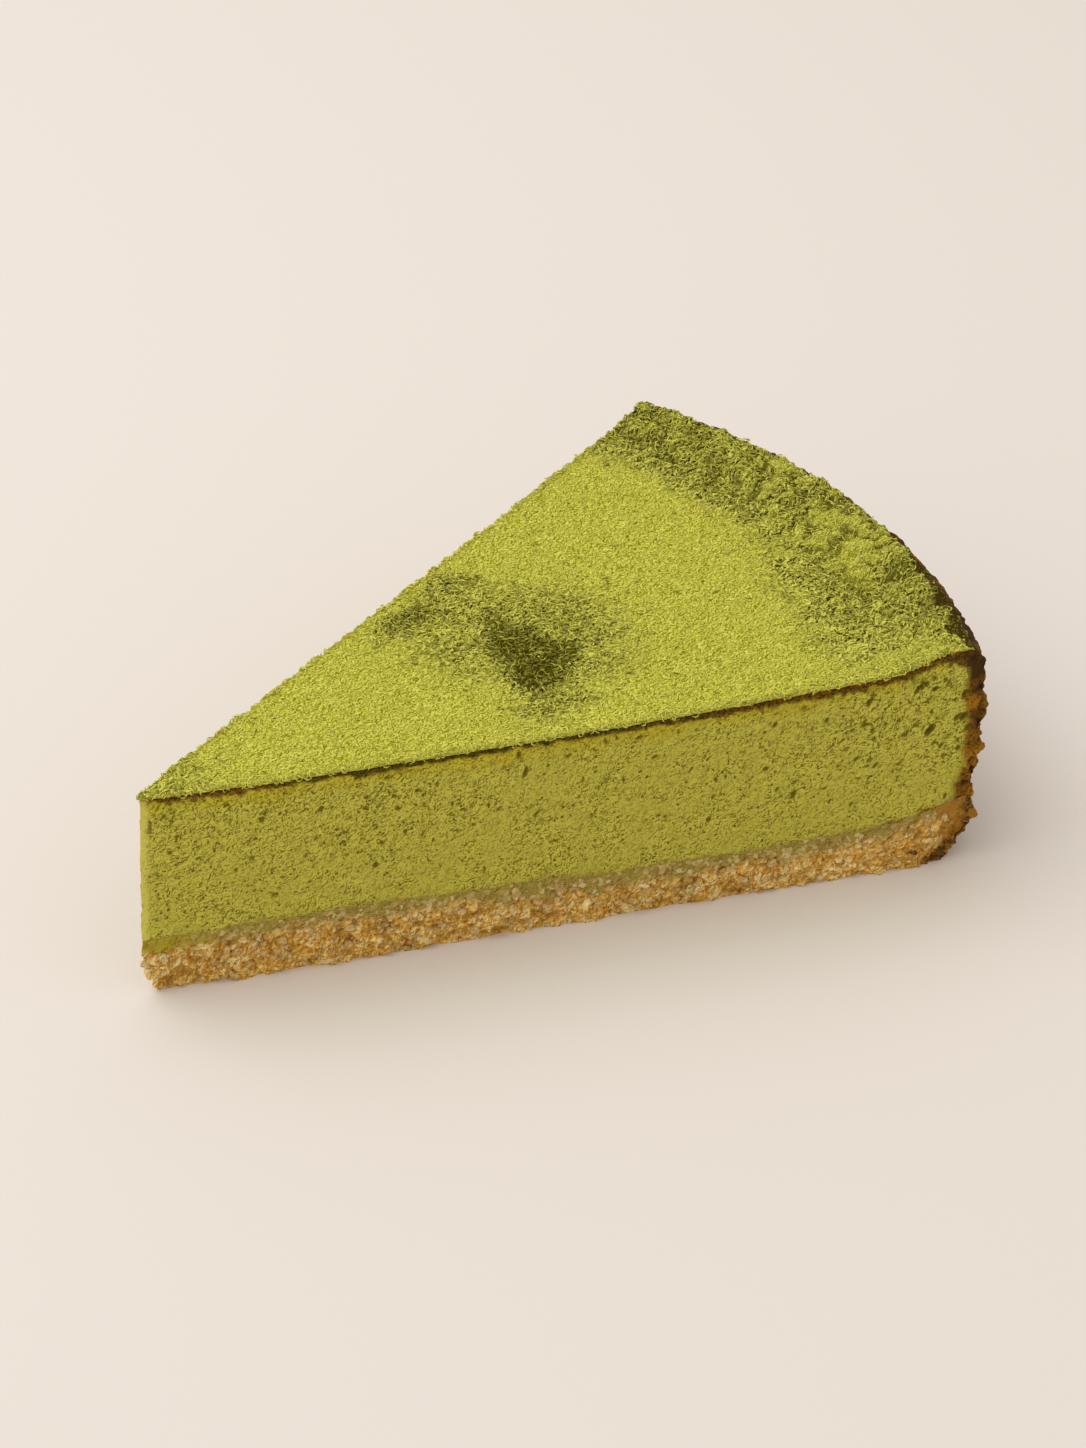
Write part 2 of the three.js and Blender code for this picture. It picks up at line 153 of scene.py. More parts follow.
def moss(places, size, seed):
    """Soft clumps with sharp creases between them, from about -0.4 to 0.6."""
    return 1.4 * np.abs(lumps(places, size, seed)) - 0.4


def layered(places, layers):
    """Relief in layers: the form, height in mm, size in mm and seed of each."""
    return sum(height * form(places, size, seed) for form, height, size, seed in layers)


def bent(places, far, size, seeds):
    """The places moved by up to the given distance, with one seed for each direction."""
    moves = np.column_stack([lumps(places, size, seed) for seed in seeds])
    return places[:, : len(seeds)] + far * moves


# ---- Places on the slice ----


def depths(places):
    """How far each place lies inside the front cut and inside the back cut."""
    x, y = places[:, 0], places[:, 1]
    front = x * math.sin(HALF_ANGLE) + y * math.cos(HALF_ANGLE)
    back = x * math.sin(HALF_ANGLE) - y * math.cos(HALF_ANGLE)
    return front, back


def rim_radius(places):
    """How far the rim's arc is from the tip, in the direction of each place."""
    angle = np.arctan2(places[:, 1], places[:, 0])
    root = np.sqrt(ARC_RADIUS**2 - (ARC_CENTRE * np.sin(angle)) ** 2)
    return ARC_CENTRE * np.cos(angle) + root


def reach(places):
    """The share of the way from the tip to the rim."""
    return np.hypot(places[:, 0], places[:, 1]) / rim_radius(places)


def lowest_nearby(across, along, values, cell):
    """The lowest of the values in each place's own cell of a grid."""
    keys = np.floor(across / cell).astype(int) * MOST_PATCHES
    keys += np.floor(along / cell).astype(int)
    home = np.unique(keys, return_inverse=True)[1].ravel()
    low = np.full(home.max() + 1, np.inf)
    np.minimum.at(low, home, values)
    return low[home]


def below_top(places, cell=LEVEL_PATCH):
    """How far each place lies below the top of its own layer."""
    x, y, z = places.T
    return -lowest_nearby(x, y, -z, cell) - z


def above_bottom(places):
    """How far each place lies above the bottom of its own layer."""
    x, y, z = places.T
    return z - lowest_nearby(x, y, z, LEVEL_PATCH)


def behind_wall(places):
    """How far each place lies behind the outer wall, measured towards the tip."""
    gap = rim_radius(places) - np.hypot(places[:, 0], places[:, 1])
    along_rim = np.arctan2(places[:, 1], places[:, 0]) * CUT_LENGTH
    behind = gap - lowest_nearby(along_rim, places[:, 2], gap, WALL_PATCH)
    return np.where(gap > WALL_ZONE, WALL_ZONE, behind)


# ---- Mesh work ----


def alone(piece):
    """Makes the piece the only one that operators act on."""
    bpy.ops.object.select_all(action="DESELECT")
    bpy.context.view_layer.objects.active = piece
    piece.select_set(True)


def apply_modifier(piece, kind, **settings):
    modifier = piece.modifiers.new(kind.lower(), kind)
    for name, value in settings.items():
        setattr(modifier, name, value)
    alone(piece)
    bpy.ops.object.modifier_apply(modifier=modifier.name)


def even_copy(node, name, cell):
    """A merged copy of one CAD node, with its surface divided into even cells."""
    piece = bpy.data.objects.new(name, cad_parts[node].data.copy())
    bpy.context.collection.objects.link(piece)
    piece.data.materials.clear()
    alone(piece)
    bpy.ops.object.mode_set(mode="EDIT")
    bpy.ops.mesh.select_all(action="SELECT")
    bpy.ops.mesh.remove_doubles(threshold=MERGED * MM)
    bpy.ops.object.mode_set(mode="OBJECT")
    apply_modifier(piece, "REMESH", mode="VOXEL", voxel_size=cell * MM, use_smooth_shade=True)
    apply_modifier(piece, "SMOOTH", iterations=SMOOTHING_ROUNDS)
    return piece


def thin_out(piece):
    """Joins up the flattest small faces, most of them hidden between two layers."""
    triangles = sum(len(face.vertices) - 2 for face in piece.data.polygons)
    apply_modifier(piece, "DECIMATE", ratio=min(1, MOST_TRIANGLES / triangles))
    bpy.ops.object.shade_smooth()
    places = read_places(piece)
    places[:, 2] = np.maximum(places[:, 2], 0)
    write_places(piece, places)
    return piece


def read_vectors(piece, source, name):
    flat = np.empty(3 * len(piece.data.vertices))
    source.foreach_get(name, flat)
    return flat.reshape(-1, 3)


def read_places(piece):
    return read_vectors(piece, piece.data.vertices, "co") / MM - TIP


def read_normals(piece):
    return read_vectors(piece, piece.data.vertices, "normal")


def write_places(piece, places):
    piece.data.vertices.foreach_set("co", ((places + TIP) * MM).ravel())
    piece.data.update()


def note(piece, name, values):
    """Keeps one number for each point of the mesh, for its material to read."""
    layer = piece.data.attributes.new(name, "FLOAT", "POINT")
    layer.data.foreach_set("value", np.clip(values, 0, 1).astype(np.float32))


# ---- The filling ----

# Where each finish of the filling starts and ends, as soft steps in mm
CUT_ENDS = (0.5, 1.0)  # inwards from the cut
CUT_STARTS = (0.8, 2.4)  # from the outer wall
CRAGS_END = (0.8, 2.0)  # from the outer wall
BROWNING_ENDS = (2.0, 3.4)  # from the outer wall
RIPENESS_ENDS = (1.0, 3.6)  # from the outer wall or the top
DRAGGED_HEIGHTS = (16, 30)  # above the floor, as the next three
SMOOTH_SHOULDER = (28, 31)
SHADED_SHOULDER = (26, 31)
TORN_HEIGHTS = (15, 22)
TORN_TIP_ENDS = (35, 55)  # from the tip
TIP_EDGE_ENDS = (0.5, 1.2)
SEAM_ENDS = (0.3, 1.0)  # from the bottom of the filling

# The same as shares of the way from the tip to the rim
BROWN_TIP = (0.12, 0.25)
BROWN_RIM = (0.45, 0.8)
TORN_RIM = (0.7, 0.9)

UPRIGHT = (0.5, 0.8)  # how level a face of a cut may be
KNIFE_DRAW = (1, 1, 0.25)  # the knife drew the surface up and down
CUT_LUMPS = ((lumps, 0.05, 1.3, 1), (lumps, 0.05, 0.7, 2))
CUT_DRAGS = ((lumps, 0.12, 0.8, 3),)
CREASE_DEPTH = 0.09
CREASE_SPACING = 1.1
CREASE_WIDTH = 0.2  # as a share of the spacing
BROWNING_EDGE = ((lumps, 1.0, 2.6, 7), (lumps, 0.5, 1.0, 8))
WALL_CRAGS = ((knobs, 1.2, 3.0, 4), (knobs, 0.7, 1.5, 5), (lumps, 0.3, 0.8, 6))

PORE_KINDS = (  # count on each cut, least and greatest radius, and how far towards the rim
    (360, 0.15, 0.26, 1.1),
    (60, 0.24, 0.4, 0.5),
    (24, 0.3, 0.5, 0.07),
)
PORE_MARGIN = 3  # no pore is nearer to the tip or the rim than this
PORE_HEIGHTS = (9, 33)
PORE_STRETCH = (1.3, 2.6)
PORE_TILT = (0.9, 0.5)  # usual turn of the long way, in radians, and how much it varies
PORE_WAVER = 0.16  # how far a pore's edge wavers
PORE_WAVER_SIZE = 0.55
DEEPEST_PIT = 0.5

# The browned skin under the powder: how thick it is, and by how much more further out
SKIN = 0.7
SKIN_LUMPS = ((lumps, 0.5, 1.3, 15),)
SKIN_GROWTH = (0.45, (0.5, 0.9))  # between these shares of the way to the rim
SKIN_CORNER = (1.5, (0.93, 0.99))
SKIN_EDGE = (0.85, 1.25)  # where it ends, as a share of its thickness


def pore_pits(places, side, seed):
    """How deep the pores are at each place of one cut."""
    direction = np.array([math.cos(HALF_ANGLE), side * math.sin(HALF_ANGLE)])
    s = places[:, :2] @ direction + PORE_WAVER * lumps(places, PORE_WAVER_SIZE, 13)
    z = places[:, 2] + PORE_WAVER * lumps(places, PORE_WAVER_SIZE, 14)
    draw = np.random.default_rng(seed)
    order = np.argsort(s)
    in_order = s[order]
    pit = np.zeros(len(places))
    lowest, highest = PORE_HEIGHTS
    for count, least, greatest, lean in PORE_KINDS:
        along = PORE_MARGIN + (CUT_LENGTH - 2 * PORE_MARGIN) * draw.random(count) ** lean
        up = lowest + (highest - lowest) * draw.random(count) ** (0.45 + 0.35 * lean)
        radius = least + (greatest - least) * draw.random(count) ** 2
        tilt = draw.normal(*PORE_TILT, count)
        stretch = PORE_STRETCH[0] + (PORE_STRETCH[1] - PORE_STRETCH[0]) * draw.random(count)
        for a, u, r, t, e in zip(along, up, radius, tilt, stretch):
            first, last = np.searchsorted(in_order, [a - e * r, a + e * r])
            near = order[first:last]
            ds, dz = s[near] - a, z[near] - u
            long_way = ds * math.cos(t) + dz * math.sin(t)
            short_way = dz * math.cos(t) - ds * math.sin(t)
            away = np.hypot(long_way / e, short_way) / r
            pit[near] = np.maximum(pit[near], r * np.clip(1 - away**2, 0, 1) ** 0.5)
    return pit


def shape_filling(places, normals, from_wall, crags):
    """The height of the relief on the cuts and the wall, and the depth of the pores."""
    front, back = depths(places)
    on_wall = 1 - ramp(from_wall, *CRAGS_END)
    on_cut = 1 - ramp(np.minimum(front, back), *CUT_ENDS)
    on_cut = on_cut * (1 - ramp(np.abs(normals[:, 2]), *UPRIGHT)) * ramp(from_wall, *CUT_STARTS)
    drags = layered(places * KNIFE_DRAW, CUT_DRAGS) * ramp(places[:, 2], *DRAGGED_HEIGHTS)
    creases = CREASE_DEPTH * threads(places, CREASE_SPACING, CREASE_WIDTH, 10)
    relief = layered(places, CUT_LUMPS) + drags - creases
    pits = np.where(front < back, pore_pits(places, -1, 11), pore_pits(places, 1, 12)) * on_cut
    calmer = 1 - 0.55 * ramp(places[:, 2], *SMOOTH_SHOULDER)
    return on_cut * relief - 0.9 * pits + on_wall * calmer * crags, pits


def make_filling():
    """The baked filling: a satin green cut full of fine pores, and a browned craggy wall."""
    piece = even_copy("filling", "baked_filling", FILLING_CELL)
    places, normals = read_places(piece), read_normals(piece)
    from_wall, from_top = behind_wall(places), below_top(places)
    crags = layered(places, WALL_CRAGS)
    height, pits = shape_filling(places, normals, from_wall, crags)
    places += normals * height[:, None]
    write_places(piece, places)

    wander = layered(places, BROWNING_EDGE)
    share = reach(places)
    skin = SKIN + layered(places, SKIN_LUMPS)
    for more, steps in (SKIN_GROWTH, SKIN_CORNER):
        skin += more * ramp(share, *steps)
    note(piece, "pit", pits / DEEPEST_PIT)
    note(piece, "wall", 1 - ramp(from_wall + 0.7 * wander, *BROWNING_ENDS))
    note(piece, "skin", 1 - ramp(from_top / skin, *SKIN_EDGE))
    note(piece, "ripe", 1 - ramp(np.minimum(from_top, from_wall) + 0.7 * wander, *RIPENESS_ENDS))
    # Painted shade between the crags and towards the top of the wall, over a random tone.
    shaded = 0.4 * ramp(places[:, 2], *SHADED_SHOULDER)
    note(piece, "crag_tone_and_shade", 0.5 + 0.5 * crags + 0.5 * lumps(places, 2.4, 9) - shaded)
    brown = np.maximum(ramp(share, *BROWN_RIM), 1 - ramp(share, *BROWN_TIP))
    note(piece, "brown", brown)
    # A painted glow along the tip's edge, where light would shine through the thin custard.
    from_tip = places[:, 0] - lowest_nearby(places[:, 2], 0, places[:, 0], WALL_PATCH)
    note(piece, "painted_tip_glow", 1 - ramp(from_tip, *TIP_EDGE_ENDS))
    torn = np.maximum(1 - ramp(places[:, 0], *TORN_TIP_ENDS), ramp(share, *TORN_RIM))
    note(piece, "torn", torn * ramp(places[:, 2] + 2 * wander, *TORN_HEIGHTS))
    note(piece, "seam", 1 - ramp(above_bottom(places) - 0.5 * wander, *SEAM_ENDS))
    return thin_out(piece)


# ---- The powder ----

# Patches where the powder is thin and looks dark: middle on the plan, size, and depth.
DARK_PATCHES = (
    ((59.4, 0.6), (5.2, 7.0), 0.95),
    ((59.8, 5.0), (3.6, 4.2), 0.85),
    ((58.2, -6.2), (5.0, 6.0), 1.0),
    ((61.6, -4.0), (5.0, 4.6), 0.95),
    ((64.5, 0.0), (9.0, 11.0), 0.5),
    ((52.5, 4.0), (6.5, 8.0), 0.3),
    ((56.0, -12.5), (6.0, 3.5), 0.45),
    ((49.8, 12.6), (5.6, 3.0), 0.72),
    ((51.5, 14.5), (3.0, 2.2), 0.8),
    ((56.0, 11.0), (9.0, 7.0), 0.36),
    ((58.8, 16.4), (4.2, 2.6), 0.55),
)

# Darker and brighter places of the rim: angle from the middle of the slice in degrees and
# reach, the size of both, and how much darker. The brighter ones are painted light where
# the rim's relief casts shade.
RIM_PATCHES = (
    ((-16.5, 0.97), (3.0, 0.035), 0.42),
    ((-11.0, 0.93), (3.0, 0.06), 0.12),
    ((15.0, 0.945), (2.2, 0.035), 0.3),
    ((9.0, 0.875), (2.4, 0.03), 0.3),
    ((-10.0, 0.85), (3.6, 0.035), 0.3),
    ((-3.0, 0.95), (3.4, 0.05), -0.4),
    ((-6.5, 0.905), (4.0, 0.025), -0.35),
    ((5.0, 0.945), (2.6, 0.03), -0.2),
)

DARK_EDGE = (1.5, 3.0, (20, 21))  # how far the edges of the patches wander, size and seeds
RIM_START = 0.82  # where the rim's clots start, as a share of the way out
RIM_FULL = 0.9
FRESH_FRONT = (2, 10)  # how far inside the front cut the rim turns dark
TIP_SHADE_ENDS = (4, 16)


def darkness(places):
    """How dark the powder is, from 0 where it lies thick and fresh to 1 in a bare patch."""
    on_plan = bent(places, *DARK_EDGE)
    dark = np.zeros(len(places))
    for middle, size, depth in DARK_PATCHES:
        away = np.hypot((on_plan[:, 0] - middle[0]) / size[0], (on_plan[:, 1] - middle[1]) / size[1])
        dark = np.maximum(dark, depth * np.exp(-(away**3)))
    share = reach(places) + 0.015 * lumps(places, 7, 22) + 0.012 * lumps(places, 2.5, 27)
    angle = np.degrees(np.arctan2(places[:, 1], places[:, 0]))
    clotted = 0.42 + 0.16 * lumps(places, 6, 23) + 0.26 * lumps(places, 2.2, 24)
    for middle, size, depth in RIM_PATCHES:
        away = np.hypot((angle - middle[0]) / size[0], (share - middle[1]) / size[1])
        clotted += depth * np.exp(-(away**3))
    fresh = 0.35 + 0.65 * ramp(depths(places)[0], *FRESH_FRONT)
    starts = RIM_START - 0.06 * ramp(-angle, -3, 8)  # further in towards the front
    rim = ramp(share, starts, RIM_FULL) * fresh * np.clip(clotted, 0.1, 0.85)
    tip = 0.25 * (1 - ramp(places[:, 0], *TIP_SHADE_ENDS))
    return np.maximum.reduce([dark, rim, tip])


def bareness(places):
    """Where the powder gives out along the outer edge, and the browned crust shows."""
    share = reach(places) + 0.010 * lumps(places, 3.0, 25) + 0.006 * lumps(places, 1.2, 26)
    starts = 0.957 + 0.027 * ramp(places[:, 1], -24, 0)  # the bare strip narrows to the back
    return ramp(share - starts, 0.0, 0.008)


POWDER_BEND = (0.5, 1.4, (40, 41, 42))
POWDER_SWELLS = ((lumps, 0.03, 1.0, 30), (lumps, 0.05, 2.2, 37))
POWDER_EDGE = ((lumps, 0.22, 1.1, 38), (lumps, 0.16, 0.45, 39))
RIM_CLOTS = ((moss, 1.0, 3.2, 35), (moss, 0.6, 1.5, 36))
CUT_EDGE_ENDS = (0.15, 0.7)  # inwards from the cut


def make_powder():
    """The layer of matcha: felted grains, clotted at the rim, with dark patches."""
    piece = even_copy("matcha_dusting", "matcha_layer", POWDER_CELL)
    places, normals = read_places(piece), read_normals(piece)
    front, back = depths(places)
    dark, bare = darkness(places), bareness(places)
    rough = ramp(dark, 0.05, 0.5)
    wool = threads(places, 0.9, 0.35, 32) - 0.9 * threads(places, 1.1, 0.3, 33)
    grain = lumps(places, 0.5, 34)
    rim = ramp(reach(places), 0.8, 0.93) * (1 - 0.6 * bare) * (0.3 + 0.7 * ramp(front, 2, 14))
    clots = layered(bent(places, *POWDER_BEND), RIM_CLOTS)
    height = layered(places, POWDER_SWELLS) - 0.12 * bare
    height += (0.03 + 0.07 * rough) * grain + 0.13 * rough * wool + 0.9 * rim * clots
    edge = 1 - ramp(np.minimum(front, back), *CUT_EDGE_ENDS)
    height += edge * layered(places, POWDER_EDGE)
    upward = ramp(normals[:, 2], -0.6, 0.1)
    places += normals * (height * upward)[:, None]
    write_places(piece, places)
    note(piece, "dark", dark)
    note(piece, "bare", bare)
    # Painted shade in the creases between the rim's clots.
    note(piece, "cleft_shade", 0.7 * rim * ramp(-clots, -0.15, 0.5))
    return thin_out(piece)


# ---- The crumb base ----

BASE_BEND = (0.6, 1.1, (56, 57, 58))
BASE_CLUMPS = ((lumps, 1.0, 2.6, 50), (lumps, 0.7, 1.2, 51))
BASE_GRIT = ((knobs, 1.3, 1.5, 52), (knobs, 0.5, 0.8, 63))
STAIN_EDGE = ((lumps, 0.8, 2.4, 54), (lumps, 0.5, 0.9, 55))

# Where each finish of the base ends, as soft steps in mm
SOAKING_ENDS = (1.4, 3.0)  # below the filling
STAINS_END = (0.2, 1.6)  # below the filling
SEAM_CLOSED = (0.1, 1.0)  # below the filling
SEAM_LIFT = 0.3
NOTCHES_END = (0.7, 2.4)  # above the floor
MOIST_TIP_ENDS = (3.0, 12.0)  # from the tip
BURNT_LOW_DOWN = (2, 6)  # above the floor
BURNING_ENDS = (0.9, 2.6)  # from the outer wall
TOASTING_ENDS = (2.5, 7.0)  # from the outer wall


def make_base():
    """The biscuit base: pressed crumbs, soaked under the filling and dark along the wall."""
    piece = even_copy("crumb_base", "biscuit_base", BASE_CELL)
    places, normals = read_places(piece), read_normals(piece)
    from_top, from_wall = below_top(places, BASE_PATCH), behind_wall(places)
    wander = layered(places, STAIN_EDGE)
    soaked = 1 - ramp(from_top + wander + 1.1 * lumps(places, 8.0, 61), *SOAKING_ENDS)
    dry = 1 - 0.7 * soaked  # soaked crumbs run together
    pressed = bent(places, *BASE_BEND)
    clumps = layered(pressed, BASE_CLUMPS)
    grit = layered(pressed, BASE_GRIT) + 0.2 * lumps(places, 0.5, 53)
    notches = np.clip(lumps(places, 1.7, 62), 0, 1) * (1 - ramp(places[:, 2], *NOTCHES_END))
    height = dry * (0.5 * clumps + 0.65 * grit - 0.9 * notches)
    upright = 1 - ramp(np.abs(normals[:, 2]), 0.6, 0.95)
    moved = places + normals * (height * upright)[:, None]
    moved[:, 2] = np.maximum(moved[:, 2], 0)
    moved[:, 2] += SEAM_LIFT * (1 - ramp(from_top, *SEAM_CLOSED))
    write_places(piece, moved)
    note(piece, "tone", 0.5 + 0.3 * lumps(places, 1.6, 59) + 0.4 * grit)
    # Painted shade in the gaps between clumps and grit.
    note(piece, "groove_shade", ramp(-clumps - 1.3 * grit, 0.1, 1.2))
    note(piece, "soaked", soaked)
    note(piece, "stained", 1 - ramp(from_top + 0.9 * wander, *STAINS_END))
    note(piece, "moist_tip", 1 - ramp(places[:, 0] + 2.0 * wander, *MOIST_TIP_ENDS))
    low_down = 1 - ramp(places[:, 2], *BURNT_LOW_DOWN)
    note(piece, "burnt", 1 - ramp(from_wall + 0.7 * wander - 1.8 * low_down, *BURNING_ENDS))
    note(piece, "toasted", 1 - ramp(from_wall + 1.2 * wander, *TOASTING_ENDS))
    return thin_out(piece)


# ---- Scattered grains and crumbs ----


def joined(name, points, faces, tones):
    """One mesh from copies of the same faces: points is copies x corners x 3."""
    copies, corners = points.shape[:2]
    sizes = [len(face) for face in faces]
    loops = np.concatenate(faces)
    starts = np.cumsum([0] + sizes[:-1])
    shift = np.arange(copies)[:, None]
    mesh = bpy.data.meshes.new(name)
    mesh.vertices.add(copies * corners)
    mesh.vertices.foreach_set("co", ((points.reshape(-1, 3) + TIP) * MM).ravel())
    mesh.loops.add(copies * len(loops))
    mesh.loops.foreach_set("vertex_index", (loops + shift * corners).ravel())
    mesh.polygons.add(copies * len(faces))
    mesh.polygons.foreach_set("loop_start", (starts + shift * len(loops)).ravel())
    mesh.update(calc_edges=True)
    piece = bpy.data.objects.new(name, mesh)
    bpy.context.collection.objects.link(piece)
    note(piece, "tone", np.repeat(tones, corners))
    return piece


def unit(vectors):
    return vectors / np.linalg.norm(vectors, axis=1)[:, None]


def lying(normals, draw):
    """Two directions along the surface at each place, at right angles to each other."""
    aims = draw.normal(size=normals.shape)
    aims = unit(aims - normals * np.sum(aims * normals, axis=1)[:, None])
    return aims, unit(np.cross(normals, aims))


THREAD_RINGS = 4
THREAD_TAPER = (0.5, 1.0, 1.0, 0.5)
# As shares of the thread's length
THREAD_BEND = 0.35
THREAD_LIFT = (0.05, 0.2)  # least, and how much more at most
THREAD_TILT = 0.18


def make_threads(name, middles, normals, lengths, widths, tones, draw):
    """Short bent threads of felted powder, three-sided, that lie on the surface."""
    aims, sides = lying(normals, draw)
    bends = draw.normal(0, THREAD_BEND, len(middles)) * lengths
    lifts = (THREAD_LIFT[0] + THREAD_LIFT[1] * draw.random(len(middles))) * lengths
    tilts = draw.normal(0, THREAD_TILT, len(middles))
    points = np.empty((len(middles), 3 * THREAD_RINGS, 3))
    for ring in range(THREAD_RINGS):
        along = ring / (THREAD_RINGS - 1) - 0.5
        arch = 1 - 4 * along * along
        centre = middles + aims * (along * lengths)[:, None] + sides * (bends * arch)[:, None]
        centre += normals * (lifts * arch + tilts * along * lengths)[:, None]
        for corner in range(3):
            turn = 2 * math.pi * corner / 3
            out = sides * math.cos(turn) + normals * math.sin(turn)
            points[:, 3 * ring + corner] = centre + out * (widths * THREAD_TAPER[ring] / 2)[:, None]
    faces = []
    for ring in range(THREAD_RINGS - 1):
        for corner in range(3):
            a, b = 3 * ring + corner, 3 * ring + (corner + 1) % 3
            faces.append([a, a + 3, b + 3, b])
    last = 3 * THREAD_RINGS - 3
    faces += [[0, 1, 2], [last + 2, last + 1, last]]
    return joined(name, points, faces, tones)


SPECK_LENGTH = 1.3  # as shares of its width
SPECK_HEIGHT = 0.8
SPECK_UNEVENNESS = 0.25


def make_specks(name, middles, normals, sizes, tones, draw):
    """Small uneven eight-sided grains."""
    aims, sides = lying(normals, draw)
    points = np.empty((len(middles), 6, 3))
    corners = ((1, 0, 0), (0, 1, 0), (-1, 0, 0), (0, -1, 0), (0, 0, 1), (0, 0, -1))
    for index, (a, s, n) in enumerate(corners):
        uneven = 1 - SPECK_UNEVENNESS + 2 * SPECK_UNEVENNESS * draw.random(len(middles))
        spread = 0.5 * sizes * uneven
        offset = SPECK_LENGTH * a * aims + s * sides + SPECK_HEIGHT * n * normals
        points[:, index] = middles + offset * spread[:, None]
    faces = [[i, (i + 1) % 4, 4] for i in range(4)] + [[(i + 1) % 4, i, 5] for i in range(4)]
    return joined(name, points, faces, tones)


def pick(piece, count, weigh, draw):
    """Chance places on a piece, as likely as the weights say, and the normals there."""
    places, normals = read_places(piece), read_normals(piece)
    weight = np.clip(weigh(places, normals), 0, None)
    chosen = draw.choice(len(places), count, replace=False, p=weight / weight.sum())
    return places[chosen], normals[chosen]


PALE_THREADS = 6000
DULL_THREADS = 2500
DUST_GRAINS = 20000
PALE_SPECKS = 110
LOOSE_CRUMBS = 900

# Sizes in mm: least, how much more at most, and a power that makes the large ones rarer
PALE_LENGTHS = (0.5, 0.8, 1.5)
DULL_LENGTHS = (0.5, 0.7, 1.5)
THREAD_WIDTHS = (0.16, 0.1, 1)
DUST_SIZES = (0.16, 0.14, 1)
SPECK_SIZES = (0.25, 0.2, 1)
CRUMB_SIZES = (0.3, 1.3, 3)

# How far up the surface has to face for a grain to lie there
TOP_ONLY = (0.3, 0.6)
TOP_MOSTLY = (0.2, 0.6)
SIDES_TOO = (-0.2, 0.3)
UNDERSIDE_TOO = (-0.7, 0.1)

CRUMB_LENGTH = 1.15  # as shares of its width
CRUMB_HEIGHT = 0.85
CRUMB_UNEVENNESS = 0.55
CRUMB_BUMP = 0.45


def chance_sizes(draw, count, least, more, power):
    return least + more * draw.random(count) ** power


def powder_edge(places):
    """1 along the two cuts through the powder, and 0 further in."""
    return 1 - ramp(np.minimum(*depths(places)), 0.1, 0.6)


def thread_darkness(places):
    """How many threads the darkness calls for: fewer on the rim, where it is clotted."""
    return darkness(places) * (1 - 0.75 * ramp(reach(places), 0.8, 0.85))


def make_pale_threads(powder):
    """Bright threads, most of them around the dark patches and on the rim."""
    draw = np.random.default_rng(SEED + 40)

    def weigh(places, normals):
        dark = thread_darkness(places)
        fringe = 4 * dark * np.clip(1.0 - dark, 0, 1) + 1.2 * powder_edge(places)
        return ramp(normals[:, 2], *UNDERSIDE_TOO) * (0.02 + fringe) * (1 - bareness(places))

    middles, normals = pick(powder, PALE_THREADS, weigh, draw)
    lengths = chance_sizes(draw, PALE_THREADS, *PALE_LENGTHS)
    widths = chance_sizes(draw, PALE_THREADS, *THREAD_WIDTHS)
    tones = 0.95 - 0.45 * darkness(middles) ** 2 + 0.12 * draw.normal(size=PALE_THREADS)
    return make_threads("pale_matcha_threads", middles, normals, lengths, widths, tones, draw)


def make_dull_threads(powder):
    """Olive threads in the dark patches and between the clots of the rim."""
    draw = np.random.default_rng(SEED + 41)

    def weigh(places, normals):
        dark = thread_darkness(places)
        return ramp(normals[:, 2], *TOP_MOSTLY) * (0.01 + dark) * (1 - 0.8 * bareness(places))

    middles, normals = pick(powder, DULL_THREADS, weigh, draw)
    lengths = chance_sizes(draw, DULL_THREADS, *DULL_LENGTHS)
    widths = chance_sizes(draw, DULL_THREADS, *THREAD_WIDTHS)
    tones = 0.5 - 0.3 * darkness(middles) + 0.14 * draw.normal(size=DULL_THREADS)
    return make_threads("dull_matcha_threads", middles, normals, lengths, widths, tones, draw)


def make_dust(powder):
    """Fine grains everywhere on the powder, and more along its two cut edges."""
    draw = np.random.default_rng(SEED + 42)

    def weigh(places, normals):
        return ramp(normals[:, 2], *SIDES_TOO) * (0.25 + 2.2 * powder_edge(places))

    middles, normals = pick(powder, DUST_GRAINS, weigh, draw)
    sizes = chance_sizes(draw, DUST_GRAINS, *DUST_SIZES)
    bare = bareness(middles)
    tones = 0.75 - 0.6 * darkness(middles) + 0.14 * draw.normal(size=DUST_GRAINS) - 0.3 * bare
    return make_specks("matcha_dust", middles, normals, sizes, tones, draw)


def make_pale_specks(powder):
    """A few almost white grains on the powder."""
    draw = np.random.default_rng(SEED + 43)

    def weigh(places, normals):
        return ramp(normals[:, 2], *TOP_ONLY)

    middles, normals = pick(powder, PALE_SPECKS, weigh, draw)
    sizes = chance_sizes(draw, PALE_SPECKS, *SPECK_SIZES)
    tones = draw.random(PALE_SPECKS)
    middles = middles + 0.08 * normals
    return make_specks("pale_specks", middles, normals, sizes, tones, draw)


